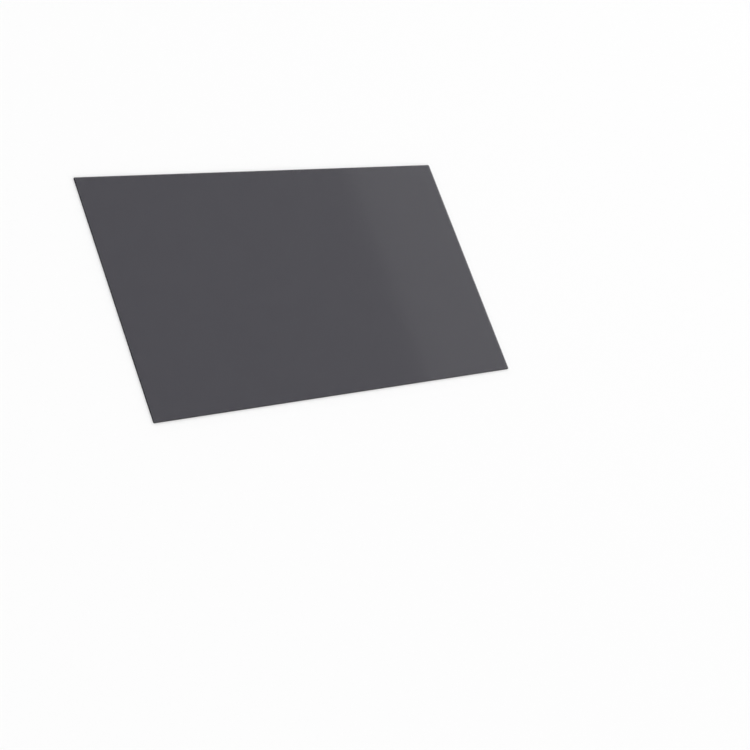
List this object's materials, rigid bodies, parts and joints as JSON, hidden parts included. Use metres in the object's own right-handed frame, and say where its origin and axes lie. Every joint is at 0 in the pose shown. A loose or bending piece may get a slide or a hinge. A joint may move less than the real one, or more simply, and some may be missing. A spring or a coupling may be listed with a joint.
{
  "type": "laptop privacy filter",
  "caption": "Thin flat rectangular sheet of dark see-through louvre film, cut to cover a wide laptop screen and hide it from people at the side.",
  "frame": {"origin": "middle of the back face, which the sheet lies on", "axes": "+X along the long side, +Y towards the top edge, +Z out of the front face, through the thickness"},
  "size_m": [0.345, 0.194, 0.001],
  "materials": {
    "louvre_film": "smooth dark grey see-through film, laminated and die-cut"
  },
  "bodies": {
    "root": {"filter_sheet": "louvre_film"}
  },
  "joints": []
}
